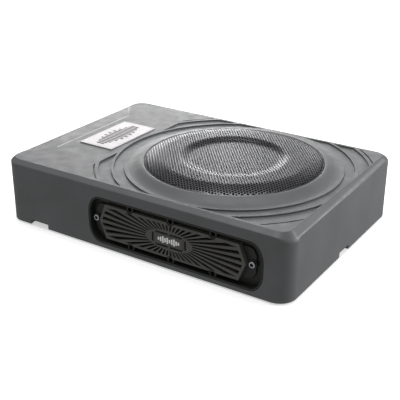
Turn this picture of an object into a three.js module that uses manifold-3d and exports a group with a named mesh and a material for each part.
// Powered under-seat car subwoofer: cast housing, domed mesh grille, sunburst vent, shallow woofer,
// amplifier and control panel. Millimetres, +Z up, the origin at the centre of the footprint.
import * as THREE from 'three';
import { mergeVertices } from 'three/addons/utils/BufferGeometryUtils.js';
import Module from 'manifold-3d';

const wasm = await Module();
wasm.setup();

// ---- driving dimensions ----
const BODY_L = 345; // long side, along X
const BODY_W = 245; // short side, along Y
const BODY_H = 70; // housing, from its lower edge to the flat top
const FOOT_H = 2; // the feet lift the housing off the floor by this much
const CORNER_R = 18; // upright corners
const CHAMFER_OUT = 6; // chamfer round the top: its width
const CHAMFER_DOWN = 5; // and its drop
const WALL = 3;
const GAP = 0.3; // clearance between pieces that touch

const DRIVER_X = 42; // driver axis, towards the plain short side
const RING_FOOT_R = 111.5; // foot of the raised ring on the flat top
const LIP_R = 99.5; // outer edge of the ring's lip
const BORE_R = 95; // inside of the lip, which holds the mesh
const LIP_Z = 75; // top of the lip
const SHELF_R = 84; // hole that the basket drops through
const SHELF_Z = 66.5; // shelf that carries the basket's flange

const CHANNEL = [116, 126.5]; // sunk ring next to the raised one
const POCKET = [129.5, 142.5]; // wider sunk field outside the first ridge
const GROOVE = [146.5, 148]; // narrow line outside the second ridge
const STEP_DEPTH = 1.1;
const STEP_LEFT_X = -80; // straight left edge of the sunk fields
const BORDER = 9.3; // flat border that the sunk fields keep to the body's outline

const VENT_X = 45; // middle of the vent opening along X
const VENT_Z = 30.4; // and its height above the housing's lower edge
const VENT_L = 204;
const VENT_H = 51.6;
const VENT_DEPTH = 9.5; // from the outer face to the back of the tray
const RAY_X = 42.5; // middle of the sunburst plate
const RAY_HALF_TIP = 85.5; // from its middle to the point of an end
const RAY_HALF_TOP = 78; // from its middle to the end of the straight top edge
const RAY_HALF_H = 19;
const RAY_RIM = 2.6;
const RAY_COUNT = 40;
const RAY_RATIO = 0.55; // height over width of the oval that spaces the slots
const EMBLEM_L = 33;
const EMBLEM_H = 11;
const NOTCH_PITCH = 48.3; // between the ring bosses
const END_SCREW_X = 91.2; // from the middle of the sunburst to an end screw

const PANEL_L = 200; // window for the control panel, along Y
const PANEL_H = 46;
const PANEL_Z = 33;
const PANEL_RECESS = 9; // the panel's face lies this far inside the short side
const PANEL_T = 2;

const FINE = 36; // segments of the large rings
const ROUND = 24; // segments of the driver's parts
const SMALL = 8; // segments of screws, pins and posts

// ---- materials ----
const material = (color, roughness, metalness) => new THREE.MeshStandardMaterial({ color, roughness, metalness });
const finishes = {
  powderCoat: () => material('#5b5c5e', 0.5, 0.3),
  meshSteel: () => material('#4b4b4d', 0.4, 0.7),
  blackPlastic: () => material('#2b2b2a', 0.6, 0),
  silverBadge: () => material('#d9d5d6', 0.35, 0.8),
  filterCloth: () => material('#101010', 0.95, 0),
  zincSteel: () => material('#b9bbbd', 0.35, 0.9),
  blackSteel: () => material('#26272a', 0.5, 0.6),
  rubber: () => material('#151515', 0.85, 0),
  paper: () => material('#1d1d1f', 0.8, 0),
  ferrite: () => material('#2f2f33', 0.7, 0.1),
  copper: () => material('#a8622f', 0.4, 0.9),
  cottonWeave: () => material('#c9a458', 0.85, 0),
  circuitBoard: () => material('#1f5a34', 0.55, 0),
  bareAluminium: () => material('#b4b6b8', 0.4, 0.9),
  fuseBlue: () => material('#3f6fb0', 0.3, 0),
  ledBlue: () => material('#7fb4ff', 0.2, 0),
};

// ---- helpers ----
function solid(geometry) {
  const bare = geometry.clone();
  bare.deleteAttribute('normal');
  bare.deleteAttribute('uv');
  const merged = mergeVertices(bare, 1e-4);
  const index = merged.index.array;
  const kept = [];
  for (let i = 0; i < index.length; i += 3) {
    const [a, b, c] = index.slice(i, i + 3);
    if (a !== b && b !== c && c !== a) kept.push(a, b, c);
  }
  const mesh = { numProp: 3, vertProperties: Float32Array.from(merged.attributes.position.array) };
  const made = new wasm.Manifold(new wasm.Mesh({ ...mesh, triVerts: Uint32Array.from(kept) }));
  if (made.volume() > 0) return made;
  for (let i = 0; i < kept.length; i += 3) [kept[i + 1], kept[i + 2]] = [kept[i + 2], kept[i + 1]];
  return new wasm.Manifold(new wasm.Mesh({ ...mesh, triVerts: Uint32Array.from(kept) }));
}

function geometryOf(body) {
  const mesh = body.getMesh();
  const geometry = new THREE.BufferGeometry();
  geometry.setAttribute('position', new THREE.BufferAttribute(Float32Array.from(mesh.vertProperties), 3));
  geometry.setIndex(new THREE.BufferAttribute(Uint32Array.from(mesh.triVerts), 1));
  return geometry;
}

const united = (bodies) => bodies.reduce((whole, next) => whole.add(next));
const cutBy = (body, cutters) => cutters.reduce((whole, next) => whole.subtract(next), body);

function box(x0, x1, y0, y1, z0, z1) {
  const geometry = new THREE.BoxGeometry(x1 - x0, y1 - y0, z1 - z0);
  return solid(geometry.translate((x0 + x1) / 2, (y0 + y1) / 2, (z0 + z1) / 2));
}

// A solid turned about the Z axis through (x, y): the profile is a closed loop of [radius, height].
function turned(profile, segments, x = 0, y = 0) {
  const loop = [...profile, profile[0]].map(([r, z]) => new THREE.Vector2(r, z));
  return solid(new THREE.LatheGeometry(loop, segments).rotateX(Math.PI / 2).translate(x, y, 0));
}

const disc = (r, z0, z1, segments, x = 0, y = 0) => turned([[0, z0], [r, z0], [r, z1], [0, z1]], segments, x, y);

function ring(inner, outer, z0, z1, segments, x = 0, y = 0) {
  return turned([[inner, z0], [outer, z0], [outer, z1], [inner, z1]], segments, x, y);
}

// A round bar along Y, from y0 to y1, and one along X.
function barY(r, y0, y1, segments, x, z) {
  const geometry = new THREE.CylinderGeometry(r, r, y1 - y0, segments);
  return solid(geometry.translate(x, (y0 + y1) / 2, z));
}

function barX(r, x0, x1, segments, y, z) {
  const geometry = new THREE.CylinderGeometry(r, r, x1 - x0, segments).rotateZ(Math.PI / 2);
  return solid(geometry.translate((x0 + x1) / 2, y, z));
}

// A rectangle about (0, 0) whose corners are quarter ovals, cx wide and cz high.
function ovalCornerRect(length, height, cx, cz) {
  const [a, b] = [length / 2, height / 2];
  const shape = new THREE.Shape();
  shape.moveTo(a, -b + cz);
  shape.absellipse(a - cx, b - cz, cx, cz, 0, Math.PI / 2, false, 0);
  shape.absellipse(-a + cx, b - cz, cx, cz, Math.PI / 2, Math.PI, false, 0);
  shape.absellipse(-a + cx, -b + cz, cx, cz, Math.PI, 1.5 * Math.PI, false, 0);
  shape.absellipse(a - cx, -b + cz, cx, cz, 1.5 * Math.PI, 2 * Math.PI, false, 0);
  return shape;
}

function extruded(shape, depth, curveSegments) {
  return new THREE.ExtrudeGeometry(shape, { depth, bevelEnabled: false, curveSegments });
}

// A slab whose outline lies in the XY plane, from z0 to z1.
function slabZ(shape, z0, z1, curveSegments = 6) {
  return solid(extruded(shape, z1 - z0, curveSegments).translate(0, 0, z0));
}

// A slab whose outline lies in the XZ plane about (x, z), from y0 to y1.
function slabY(shape, y0, y1, x, z, curveSegments = 6) {
  return solid(extruded(shape, y1 - y0, curveSegments).rotateX(Math.PI / 2).translate(x, y1, z));
}

const model = new THREE.Group();
const product = new THREE.Group();
product.position.z = FOOT_H;
model.add(product);

function add(name, body, finish) {
  const mesh = new THREE.Mesh(geometryOf(body), finishes[finish]());
  mesh.name = name;
  product.add(mesh);
}

// ---- enclosure ----
const HALF_L = BODY_L / 2;
const HALF_W = BODY_W / 2;
const FACE_Y = -HALF_W; // outer face of the vent side
const FACE_X = -HALF_L; // outer face of the control side
const POSTS = [[-158, -108], [158, -108], [-158, 108], [158, 108]];
const POST_R = 5;
const SLOT_HEIGHT = 5.2; // bracket slots in the housing's lower edge
const SLOTS = [
  [-140, -115, -HALF_W - 1, -HALF_W + 8],
  [-140, -115, HALF_W - 8, HALF_W + 1],
  [HALF_L - 8, HALF_L + 1, -9, 13],
];
const ventOutline = (inset) => ovalCornerRect(VENT_L - 2 * inset, VENT_H - 2 * inset, 15 - inset, 20 - inset);

function housingBlank() {
  const outline = ovalCornerRect(BODY_L, BODY_W, CORNER_R, CORNER_R);
  const blank = new THREE.ExtrudeGeometry(outline, {
    depth: BODY_H,
    bevelThickness: CHAMFER_DOWN,
    bevelSize: CHAMFER_OUT,
    bevelOffset: -CHAMFER_OUT,
    bevelSegments: 1,
    curveSegments: 6,
  });
  const below = box(-HALF_L - 1, HALF_L + 1, -HALF_W - 1, HALF_W + 1, -20, 0);
  return solid(blank.translate(0, 0, -CHAMFER_DOWN)).subtract(below);
}

// The three sunk rings, each ending a little further inside the border than the one before it.
function sunkFields() {
  return [CHANNEL, POCKET, GROOVE].map(([inner, outer], i) => {
    const [x0, x1] = [STEP_LEFT_X - (i === 0 ? BORDER : 0), HALF_L - BORDER + 2 - i * 0.4];
    const y1 = HALF_W - BORDER - i * 0.4;
    const floor = BODY_H - STEP_DEPTH;
    return ring(inner, outer, floor, BODY_H + 1, FINE, DRIVER_X).intersect(box(x0, x1, -y1, y1, 0, BODY_H + 1));
  });
}

// The top falls away a little towards the control side, between two folds.
function endSlope() {
  const wedge = new THREE.Shape();
  wedge.moveTo(-139, BODY_H + 0.4);
  wedge.lineTo(FACE_X - 1, BODY_H + 0.6);
  wedge.lineTo(FACE_X - 1, BODY_H - 1.8);
  return slabY(wedge, -84, 84, 0, 0);
}

function housing() {
  const foot = BODY_H - 2;
  const raisedRing = turned([
    [BORE_R - 1, foot], [RING_FOOT_R, foot], [RING_FOOT_R, BODY_H], [107.5, BODY_H + 1],
    [LIP_R + 1.5, LIP_Z - 0.8], [LIP_R, LIP_Z], [BORE_R - 1, LIP_Z],
  ], FINE, DRIVER_X);
  const collar = ring(SHELF_R, BORE_R + 4, SHELF_Z - 3, BODY_H - 1, FINE, DRIVER_X);
  const posts = POSTS.map(([x, y]) => disc(POST_R, 1.8, BODY_H - 2, SMALL, x, y));
  const inner = ovalCornerRect(BODY_L - 2 * WALL, BODY_W - 2 * WALL, CORNER_R - WALL, CORNER_R - WALL);
  const cavity = slabZ(inner, -1, BODY_H - 4);
  const window = box(FACE_X - 1, FACE_X + WALL + 1, -PANEL_L / 2, PANEL_L / 2, PANEL_Z - PANEL_H / 2,
    PANEL_Z + PANEL_H / 2);
  const shell = cutBy(housingBlank(), [...sunkFields(), endSlope(), cavity]);
  return cutBy(united([shell, raisedRing, collar, ...posts]), [
    disc(BORE_R, SHELF_Z, LIP_Z + 1, FINE, DRIVER_X),
    disc(SHELF_R, SHELF_Z - 10, LIP_Z, FINE, DRIVER_X),
    slabY(ventOutline(0), FACE_Y - 1, FACE_Y + WALL + 1, VENT_X, VENT_Z),
    window,
    ...SLOTS.map(([x0, x1, y0, y1]) => box(x0, x1, y0, y1, -1, SLOT_HEIGHT)),
    ...POSTS.map(([x, y]) => disc(1.9, 0, 14, SMALL, x, y)),
    ...DRIVER_SCREWS.map(([x, y]) => disc(1.9, SHELF_Z - 4, SHELF_Z + 1, SMALL, x, y)),
  ]);
}

const DRIVER_SCREWS = [45, 135, 225, 315].map((degrees) => {
  const angle = THREE.MathUtils.degToRad(degrees);
  return [DRIVER_X + 89.5 * Math.cos(angle), 89.5 * Math.sin(angle)];
});

function basePlate() {
  const inset = WALL + GAP;
  const outline = ovalCornerRect(BODY_L - 2 * inset, BODY_W - 2 * inset, CORNER_R - inset, CORNER_R - inset);
  return cutBy(slabZ(outline, 0, 1.5), [
    ...SLOTS.map(([x0, x1, y0, y1]) => box(x0 - 1, x1 + 1, y0, y1, -1, SLOT_HEIGHT)),
    ...POSTS.map(([x, y]) => disc(2.1, -1, 3, SMALL, x, y)),
  ]);
}

// A pan-head screw that points up (+1) or down (-1) from the underside of its head at z.
function uprightScrew(x, y, z, way, headR, shankR, headH, length) {
  return turned([
    [0, z + way * length], [shankR, z + way * length], [shankR, z], [headR, z],
    [headR, z - way * headH * 0.6], [headR * 0.6, z - way * headH], [0, z - way * headH],
  ], SMALL, x, y);
}

add('housing', housing(), 'powderCoat');
add('base_plate', basePlate(), 'blackSteel');
POSTS.forEach(([x, y], i) => {
  add(`base_screw_${i + 1}`, uprightScrew(x, y, -GAP, 1, 3.6, 1.6, 1.2, 12), 'zincSteel');
  const [footX, footY] = [x * 0.86, y * 0.82];
  add(`foot_${i + 1}`, turned([[0, -FOOT_H], [8, -FOOT_H], [9, -GAP], [0, -GAP]], 16, footX, footY), 'rubber');
});

// ---- mesh grille: a shallow dome with a sunk middle ----
const MESH_T = 1.2;
const MESH_TOP = [[94.4, 74.6], [92, 76], [80, 79.3], [76, 79.6], [55, 79.6], [50, 76.4], [0, 76.4]];
const meshUnder = MESH_TOP.map(([r, z]) => [Math.max(r - 0.6, 0), z - MESH_T]).reverse();
const meshProfile = [...MESH_TOP, ...meshUnder, [92.6, 71.6], [94.4, 71.6]];
add('mesh_grille', turned(meshProfile, FINE, DRIVER_X), 'meshSteel');

const badge = ovalCornerRect(45, 82, 1.2, 1.2);
const BADGE_X = -113.3;
add('badge_plate', slabZ(badge, BODY_H + 0.1, BODY_H + 0.9, 2).translate([BADGE_X, 0.5, 0]), 'silverBadge');

// ---- vent ----
const notchPlaces = [-1, 0, 1].flatMap((step) => [1, -1].map((side) => [RAY_X + 1.4 + step * NOTCH_PITCH,
  side > 0 ? VENT_Z + 21 : VENT_Z - 21]));
const endScrews = [-1, 1].map((side) => RAY_X - 0.5 + side * END_SCREW_X);
const TRAY_FLOOR = FACE_Y + VENT_DEPTH - 1.5;
const RAY_FACE = FACE_Y + 0.6;

// The sunburst plate's outline, a flat hexagon, about its own middle.
function rayOutline(inset) {
  const [tip, top, half] = [RAY_HALF_TIP - inset * 1.1, RAY_HALF_TOP - inset * 0.8, RAY_HALF_H - inset];
  return [[tip, 0], [top, half], [-top, half], [-tip, 0], [-top, -half], [top, -half]];
}

function polygon(points) {
  return new THREE.Shape(points.map(([x, z]) => new THREE.Vector2(x, z)));
}

// How far a ray at this angle runs from the middle to the plate's inner outline.
function reach(angle) {
  const [c, s] = [Math.abs(Math.cos(angle)), Math.abs(Math.sin(angle))];
  const [[tip], [top, half]] = rayOutline(RAY_RIM);
  const slant = tip * half / (c * half + s * (tip - top));
  return Math.min(half / Math.max(s, 1e-6), slant);
}

function raySlots() {
  const pitch = 2 * Math.PI / RAY_COUNT;
  const direction = (t) => Math.atan2(RAY_RATIO * Math.sin(t), Math.cos(t));
  return Array.from({ length: RAY_COUNT }, (_, k) => {
    const t = (k + 0.5) * pitch;
    const [from, to] = [direction(t - pitch * 0.22), direction(t + pitch * 0.22)];
    const start = (angle) => 1 / Math.hypot(Math.cos(angle) / 27.5, Math.sin(angle) / 10.6);
    const at = (angle, r) => [r * Math.cos(angle), r * Math.sin(angle)];
    return polygon([at(from, start(from)), at(from, reach(from)), at(to, reach(to)), at(to, start(to))]);
  });
}

// Six slots that frame the emblem: two above, two below and one at each end.
function emblemSlots() {
  const slot = (x0, x1, z0, z1) => polygon([[x0, z0], [x1, z0], [x1, z1], [x0, z1]]);
  const rows = [-1, 1].flatMap((side) => [[-15.5, -1.2], [1.2, 15.5]].map(([x0, x1]) => (
    slot(x0, x1, side * 6.9 - 0.8, side * 6.9 + 0.8))));
  return [...rows, slot(-20, -18, -5, 5), slot(18, 20, -5, 5)];
}

function ventGrille() {
  const block = slabY(polygon(rayOutline(0)), RAY_FACE, TRAY_FLOOR - GAP, RAY_X, VENT_Z);
  const hollow = slabY(polygon(rayOutline(2)), RAY_FACE + 3, TRAY_FLOOR + 1, RAY_X, VENT_Z);
  const slots = [...raySlots(), ...emblemSlots()].map((shape) => (
    slabY(shape, RAY_FACE - 1, RAY_FACE + 4, RAY_X, VENT_Z)));
  const seat = box(RAY_X - EMBLEM_L / 2 - GAP, RAY_X + EMBLEM_L / 2 + GAP, RAY_FACE - 1, RAY_FACE + 0.5,
    VENT_Z - EMBLEM_H / 2 - GAP, VENT_Z + EMBLEM_H / 2 + GAP);
  const notches = notchPlaces.map(([x, z]) => barY(4.5, FACE_Y - 1, TRAY_FLOOR, 12, x, z));
  return cutBy(block, [hollow, seat, ...slots, ...notches]);
}

function ventBezel() {
  const tray = slabY(ventOutline(GAP), FACE_Y, FACE_Y + VENT_DEPTH, VENT_X, VENT_Z);
  const hollow = slabY(ventOutline(2.2), FACE_Y - 1, TRAY_FLOOR, VENT_X, VENT_Z);
  const rings = notchPlaces.map(([x, z]) => barY(4.1, FACE_Y + 1.4, TRAY_FLOOR + 0.5, 12, x, z));
  const bosses = endScrews.map((x) => barY(4.6, FACE_Y + 4.8, TRAY_FLOOR + 0.5, 14, x, VENT_Z));
  const outside = slabY(ventOutline(GAP), FACE_Y, FACE_Y + VENT_DEPTH, VENT_X, VENT_Z);
  return cutBy(united([tray.subtract(hollow), ...rings, ...bosses]).intersect(outside), [
    slabY(polygon(rayOutline(4)), FACE_Y, FACE_Y + 20, RAY_X, VENT_Z),
    ...notchPlaces.map(([x, z]) => barY(2.5, FACE_Y - 1, FACE_Y + 7, SMALL, x, z)),
    ...endScrews.map((x) => barY(1.9, FACE_Y - 1, FACE_Y + 20, SMALL, x, VENT_Z)),
  ]);
}

function ventScrew(x) {
  const seat = FACE_Y + 4.8 - GAP;
  const profile = [[0, -8], [1.6, -8], [1.6, 0], [3.4, 0], [3.4, 0.9], [2.2, 1.8], [1.2, 1.8], [1.2, 0.9], [0, 0.9]];
  const loop = [...profile, profile[0]].map(([r, z]) => new THREE.Vector2(r, -z));
  return solid(new THREE.LatheGeometry(loop, SMALL).translate(x, seat, VENT_Z));
}

add('vent_bezel', ventBezel(), 'blackPlastic');
add('vent_grille', ventGrille(), 'blackPlastic');
const emblem = ovalCornerRect(EMBLEM_L, EMBLEM_H, 1, 1);
add('vent_emblem', slabY(emblem, RAY_FACE - 0.3, RAY_FACE + 0.2, RAY_X, VENT_Z, 2), 'silverBadge');
const filterBack = FACE_Y + VENT_DEPTH + GAP;
const filterOutline = ovalCornerRect(176, 38, 2, 2);
add('vent_filter', slabY(filterOutline, filterBack, filterBack + 1, RAY_X, VENT_Z, 2), 'filterCloth');
endScrews.forEach((x, i) => add(`vent_screw_${i + 1}`, ventScrew(x), 'zincSteel'));

// ---- driver, on its own axis ----
const flange = SHELF_Z + 1.2; // underside of the basket's flange, on the gasket
const basketSkin = [
  [94, flange], [94, flange + 1.5], [82.5, flange + 1.5], [81, flange], [69, 52], [57, 51], [48, 34], [30, 34],
  [30, 31.8], [49.5, 31.8], [58.5, 49], [70, 50], [83, flange],
];

// Openings through the basket's side, each a block turned about the driver's axis.
function basketWindows(radius, width, z0, z1) {
  return Array.from({ length: 6 }, (_, i) => {
    const hole = new THREE.BoxGeometry(16, width, z1 - z0).translate(radius, 0, (z0 + z1) / 2);
    return solid(hole.rotateZ((i + 0.5) * Math.PI / 3).translate(DRIVER_X, 0, 0));
  });
}

function basket() {
  return cutBy(turned(basketSkin, ROUND, DRIVER_X), [
    ...basketWindows(76, 34, 53.5, 65),
    ...basketWindows(53, 22, 37, 47),
    ...DRIVER_SCREWS.map(([x, y]) => disc(2.1, flange - 1, flange + 3, SMALL, x, y)),
  ]);
}

const gasketRing = ring(SHELF_R + 0.5, 87, SHELF_Z + GAP, flange - 0.2, ROUND, DRIVER_X);

// A half-round roll between two flat lips, in the plane at height z.
function surroundProfile(z, t) {
  const [inner, outer, rise] = [73, 82, 4.6];
  const steps = 5;
  const arc = (grow, from, to) => Array.from({ length: steps + 1 }, (_, i) => {
    const angle = from + (to - from) * i / steps;
    const half = (outer - inner) / 2;
    return [(inner + outer) / 2 + (half + grow) * Math.cos(angle), z + (rise + grow) * Math.sin(angle)];
  });
  return [[86, z], [86, z + t], ...arc(t, 0.15, Math.PI - 0.15), [69.5, z + t], [69.5, z],
    ...arc(0, Math.PI, 0)];
}

// Concentric waves from the coil former out to the basket's ledge.
function spiderProfile(z, t) {
  const radii = Array.from({ length: 11 }, (_, i) => 26.9 + i * 3.4);
  const wave = (i) => (i === 0 || i > 8 ? 0 : (i % 2 ? 1.3 : -1.3));
  const top = radii.map((r, i) => [r, z + t + wave(i)]);
  const under = radii.map((r, i) => [r, z + wave(i)]).reverse();
  return [...top, ...under];
}

const coneProfile = [[26.3, 55], [27.3, 54.6], [50, 61.8], [72.6, 69], [69.2, 69.2], [50, 63]];
const capProfile = [[0, 68.4], [14, 66.8], [25, 62.6], [31, 57.9], [31, 57.3], [30.2, 57.3], [24.5, 61.7],
  [13.8, 65.8], [0, 67.4]];
const yokeProfile = [[9, 4], [52, 4], [52, 9.2], [24.3, 9.2], [24.3, 31.2], [9, 31.2]];

add('basket', basket(), 'blackSteel');
add('driver_gasket', gasketRing, 'rubber');
DRIVER_SCREWS.forEach(([x, y], i) => {
  add(`driver_screw_${i + 1}`, uprightScrew(x, y, flange + 1.8, -1, 3.4, 1.6, 1.5, 7), 'blackSteel');
});
add('surround', turned(surroundProfile(flange + 1.8, 0.8), ROUND, DRIVER_X), 'rubber');
add('cone', turned(coneProfile, ROUND, DRIVER_X), 'paper');
add('dust_cap', turned(capProfile, 20, DRIVER_X), 'paper');
add('coil_former', ring(25.3, 26, 21, 54.2, 24, DRIVER_X), 'bareAluminium');
add('coil_winding', ring(26.1, 26.8, 22, 35, 24, DRIVER_X), 'copper');
add('spider', turned(spiderProfile(53, 0.7), 20, DRIVER_X), 'cottonWeave');
add('top_plate', ring(27.5, 50, 25.6, 31.4, 24, DRIVER_X), 'zincSteel');
add('magnet', ring(33, 60, 9.6, 25.2, 24, DRIVER_X), 'ferrite');
add('yoke', turned(yokeProfile, 24, DRIVER_X), 'zincSteel');
add('driver_terminal', united([
  box(DRIVER_X - 72.5, DRIVER_X - 60, -9, 9, 47, 48.6),
  box(DRIVER_X - 78, DRIVER_X - 72, -6.5, -1.5, 47.3, 48.2),
  box(DRIVER_X - 78, DRIVER_X - 72, 1.5, 6.5, 47.3, 48.2),
]), 'zincSteel');

// ---- amplifier ----
const BOARD_X = -146; // edge of the board next to the sockets
const BOARD_Z = 12;
const sinkFace = BOARD_X + 10; // upright face that the transistors are clamped to
add('amp_board', box(BOARD_X, BOARD_X + 86, -98, 98, BOARD_Z, BOARD_Z + 1.6), 'circuitBoard');
add('heatsink', united([
  box(BOARD_X, sinkFace, -60, 60, BOARD_Z + 2, BOARD_Z + 5),
  box(sinkFace - 3, sinkFace, -60, 60, BOARD_Z + 2, 62),
]), 'bareAluminium');
add('transformer', ring(9, 21, BOARD_Z + 2, BOARD_Z + 19, 20, BOARD_X + 52, 38), 'copper');
[-20, -44].forEach((y, i) => {
  add(`capacitor_${i + 1}`, disc(9, BOARD_Z + 2, BOARD_Z + 32, 16, BOARD_X + 48, y), 'blackPlastic');
});
[-26, 26].forEach((y, i) => {
  const front = sinkFace + GAP;
  add(`transistor_${i + 1}`, box(front, front + 4.6, y - 8, y + 8, BOARD_Z + 3, BOARD_Z + 23), 'blackPlastic');
});

// ---- control panel ----
const PANEL_X = FACE_X + PANEL_RECESS; // front of the panel's floor
const panelTop = PANEL_Z + PANEL_H / 2;
const panelFoot = PANEL_Z - PANEL_H / 2;
const KNOBS = { gain: -84, crossover: -62, bass: -40 };
const KNOB_Z = PANEL_Z;
const SWITCH_Y = -20;
const RCA_Z = [PANEL_Z - 9, PANEL_Z + 9];
const RCA_Y = -2;
const SOCKETS = {
  high_level_socket: { y: 18, z: PANEL_Z, width: 18, height: 12 },
  remote_jack: { y: 40, z: PANEL_Z, width: 14, height: 13 },
  power_socket: { y: 67, z: PANEL_Z, width: 28, height: 17 },
};
const FUSE = { y: 91, z: PANEL_Z, width: 10, height: 22 };
const LED = { y: -20, z: PANEL_Z + 14 };

// A block about (y, z) that reaches from x0 to x1, grown on its four sides.
function block({ y, z, width, height }, x0, x1, grow = 0) {
  const [a, b] = [width / 2 + grow, height / 2 + grow];
  return box(x0, x1, y - a, y + a, z - b, z + b);
}

function controlPanel() {
  const floor = box(PANEL_X, PANEL_X + PANEL_T, -PANEL_L / 2 - 3, PANEL_L / 2 + 3, panelFoot - 3, panelTop + 3);
  const front = FACE_X + WALL + GAP;
  const rim = box(front, PANEL_X + 1, -PANEL_L / 2 - 3, PANEL_L / 2 + 3, panelFoot - 3, panelTop + 3);
  const window = box(front - 1, PANEL_X, -PANEL_L / 2, PANEL_L / 2, panelFoot, panelTop);
  const reachX = [PANEL_X - 1, PANEL_X + PANEL_T + 1];
  return cutBy(united([rim, floor]).subtract(window), [
    ...Object.values(KNOBS).map((y) => barX(3.6, ...reachX, 12, y, KNOB_Z)),
    block({ y: SWITCH_Y, z: PANEL_Z, width: 9, height: 4 }, ...reachX),
    ...RCA_Z.map((z) => barX(4.7, ...reachX, 14, RCA_Y, z)),
    ...Object.values(SOCKETS).map((socket) => block(socket, ...reachX, GAP)),
    block(FUSE, ...reachX, GAP),
    barX(1.9, ...reachX, SMALL, LED.y, LED.z),
  ]);
}

function knob(y) {
  const bare = barX(7, FACE_X + 0.8, PANEL_X - 0.6, 20, y, KNOB_Z);
  const pointer = box(FACE_X + 0.2, FACE_X + 1.2, y - 0.5, y + 0.5, KNOB_Z + 1.5, KNOB_Z + 7.6);
  const bore = barX(3.3, FACE_X + 3, PANEL_X, 12, y, KNOB_Z);
  return bare.add(pointer).subtract(bore);
}

function potentiometer(y) {
  const behind = PANEL_X + PANEL_T + GAP;
  return united([
    box(behind, behind + 8, y - 7, y + 7, KNOB_Z - 7, KNOB_Z + 7),
    barX(3, FACE_X + 3.4, behind + 1, 12, y, KNOB_Z),
  ]);
}

// A socket block: a shell with a pocket that is open to the front, and a row of contact pins.
function socket(place, pins) {
  const [front, back] = [PANEL_X - 2, PANEL_X + 14];
  const pocket = block(place, front - 1, back - 2.5, -1.5);
  const contact = (i) => {
    const y = place.y + (i - (pins - 1) / 2) * (place.width - 4) / pins;
    return box(back - 4, back - 2, y - 0.6, y + 0.6, place.z - 0.6, place.z + 0.6);
  };
  const shell = block(place, front, back).subtract(pocket);
  return united([shell, ...Array.from({ length: pins }, (_, i) => contact(i))]);
}

function rcaBlock() {
  const behind = PANEL_X + PANEL_T + GAP;
  const barrels = RCA_Z.map((z) => barX(4.2, FACE_X + 1.5, behind + 1, 16, RCA_Y, z));
  const bores = RCA_Z.map((z) => barX(1.7, FACE_X, behind + 4, SMALL, RCA_Y, z));
  const housingBlock = box(behind, behind + 11, RCA_Y - 6.5, RCA_Y + 6.5, RCA_Z[0] - 7, RCA_Z[1] + 7);
  return cutBy(united([housingBlock, ...barrels]), bores);
}

add('control_panel', controlPanel(), 'blackPlastic');
for (const [name, y] of Object.entries(KNOBS)) {
  add(`${name}_pot`, potentiometer(y), 'zincSteel');
  add(`${name}_knob`, knob(y), 'blackPlastic');
}
const switchBack = PANEL_X + PANEL_T + GAP;
add('phase_switch', cutBy(box(switchBack, switchBack + 7, SWITCH_Y - 7, SWITCH_Y + 7, PANEL_Z - 4, PANEL_Z + 4), [
  block({ y: SWITCH_Y, z: PANEL_Z, width: 9, height: 4 }, switchBack - 1, switchBack + 3),
]), 'zincSteel');
add('phase_slider', block({ y: SWITCH_Y - 2, z: PANEL_Z, width: 4, height: 3 }, PANEL_X - 3, switchBack + 2.5),
  'blackPlastic');
add('rca_block', rcaBlock(), 'blackPlastic');
add('high_level_socket', socket(SOCKETS.high_level_socket, 4), 'blackPlastic');
add('remote_jack', socket(SOCKETS.remote_jack, 6), 'blackPlastic');
add('power_socket', socket(SOCKETS.power_socket, 3), 'blackPlastic');
add('fuse_holder', block(FUSE, PANEL_X - 1, PANEL_X + 12).subtract(block(FUSE, PANEL_X - 2, PANEL_X + 9, -2)),
  'blackPlastic');
add('fuse', block(FUSE, PANEL_X - 3.5, PANEL_X + 8, -2.4), 'fuseBlue');
add('power_led', barX(1.5, PANEL_X - 1.2, PANEL_X + PANEL_T + 3, SMALL, LED.y, LED.z), 'ledBlue');

export default model;
